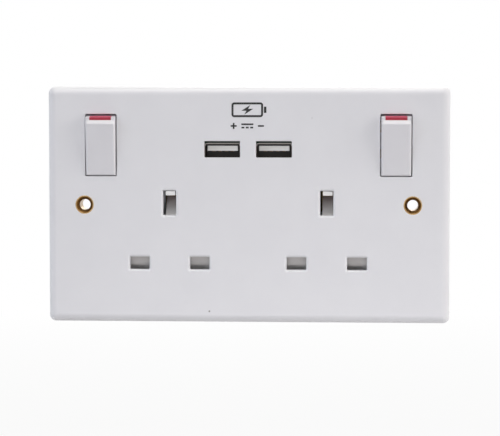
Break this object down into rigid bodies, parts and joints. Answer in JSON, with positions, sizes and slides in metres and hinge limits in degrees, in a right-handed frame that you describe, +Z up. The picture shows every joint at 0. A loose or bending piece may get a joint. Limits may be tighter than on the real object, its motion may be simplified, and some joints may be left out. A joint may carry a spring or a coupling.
{
  "type": "usb wall socket",
  "caption": "Flush wall socket: white rounded plate with shuttered mains outlets, rocker switches with red on-strips, USB charging ports, brass fixing eyelets and a rear contact housing.",
  "frame": {"origin": "on the wall plane behind the plate, half way between the two fixing holes", "axes": "+X right and +Z up as the user faces the plate, +Y into the wall"},
  "size_m": [0.148, 0.0373, 0.087],
  "materials": {
    "white_moulding": "satin white moulding",
    "shutter_white": "matt white moulding",
    "on_red": "red inlay",
    "housing_grey": "matt light grey moulding",
    "brass": "bare brass",
    "steel": "bright steel",
    "silver": "silver alloy",
    "usb_white": "white insulator",
    "board_green": "circuit board",
    "ferrite": "sintered ferrite",
    "winding_tape": "taped copper winding",
    "can_black": "sleeved capacitor",
    "disc_blue": "dipped capacitor",
    "chip_black": "moulded chip"
  },
  "bodies": {
    "fixed_body": {"bridge_rectifier": "chip_black", "controller_chip": "chip_black", "earth_bar": "brass", "earth_terminal": "brass", "front_plate": "white_moulding", "housing_screws": "steel", "input_capacitors": "can_black", "left_eyelet": "brass", "left_fulcrum": "brass", "left_guard": "shutter_white", "left_line_clip": "brass", "left_shroud": "housing_grey", "left_shutter_spring": "steel", "left_usb_contacts": "brass", "left_usb_insulator": "usb_white", "left_usb_shell": "steel", "line_bar": "brass", "line_terminal": "brass", "neutral_bar": "brass", "neutral_terminal": "brass", "output_capacitor": "can_black", "rear_housing": "housing_grey", "right_eyelet": "brass", "right_fulcrum": "brass", "right_guard": "shutter_white", "right_line_clip": "brass", "right_shroud": "housing_grey", "right_shutter_spring": "steel", "right_usb_contacts": "brass", "right_usb_insulator": "usb_white", "right_usb_shell": "steel", "safety_capacitor": "disc_blue", "terminal_screws": "steel", "transformer_core": "ferrite", "transformer_winding": "winding_tape", "usb_board": "board_green", "usb_feed_pins": "brass"},
    "left_switch": {"left_rocker": "white_moulding", "left_on_strip": "on_red", "left_plunger_spring": "steel"},
    "left_plunger_body": {"left_plunger": "usb_white"},
    "left_seesaw_body": {"left_seesaw": "brass", "left_silver_contact": "silver"},
    "left_shutter_body": {"left_shutter": "shutter_white"},
    "right_switch": {"right_rocker": "white_moulding", "right_on_strip": "on_red", "right_plunger_spring": "steel"},
    "right_plunger_body": {"right_plunger": "usb_white"},
    "right_seesaw_body": {"right_seesaw": "brass", "right_silver_contact": "silver"},
    "right_shutter_body": {"right_shutter": "shutter_white"}
  },
  "joints": [
    {"name": "left_rocker_tilt", "type": "hinge", "parent": "fixed_body", "child": "left_switch", "pos_m": [-0.0542, -0.0052, 0.022], "axis": [1, 0, 0], "range_deg": [-14, 0]},
    {"name": "left_seesaw_rock", "type": "hinge", "parent": "fixed_body", "child": "left_seesaw_body", "pos_m": [-0.0542, 0.00918, 0.022], "axis": [1, 0, 0], "range_deg": [0, 16]},
    {"name": "left_plunger_slide", "type": "slide", "parent": "left_switch", "child": "left_plunger_body", "axis": [0, 0.9925, 0.1219], "range_m": [-0.001, 0.0003], "stiffness_N_per_m": 300, "springref_m": 0.004, "deforming": ["left_plunger_spring"]},
    {"name": "left_shutter_drop", "type": "slide", "parent": "fixed_body", "child": "left_shutter_body", "axis": [0, 0, -1], "range_m": [0, 0.0064], "stiffness_N_per_m": 150, "springref_m": -0.004, "deforming": ["left_shutter_spring"]},
    {"name": "right_rocker_tilt", "type": "hinge", "parent": "fixed_body", "child": "right_switch", "pos_m": [0.0542, -0.0052, 0.022], "axis": [1, 0, 0], "range_deg": [-14, 0]},
    {"name": "right_seesaw_rock", "type": "hinge", "parent": "fixed_body", "child": "right_seesaw_body", "pos_m": [0.0542, 0.00918, 0.022], "axis": [1, 0, 0], "range_deg": [0, 16]},
    {"name": "right_plunger_slide", "type": "slide", "parent": "right_switch", "child": "right_plunger_body", "axis": [0, 0.9925, 0.1219], "range_m": [-0.001, 0.0003], "stiffness_N_per_m": 300, "springref_m": 0.004, "deforming": ["right_plunger_spring"]},
    {"name": "right_shutter_drop", "type": "slide", "parent": "fixed_body", "child": "right_shutter_body", "axis": [0, 0, -1], "range_m": [0, 0.0064], "stiffness_N_per_m": 150, "springref_m": -0.004, "deforming": ["right_shutter_spring"]}
  ],
  "couplings": [
    {"joint": "left_seesaw_rock", "follows": "left_rocker_tilt", "ratio": -1.1429},
    {"joint": "right_seesaw_rock", "follows": "right_rocker_tilt", "ratio": -1.1429}
  ]
}
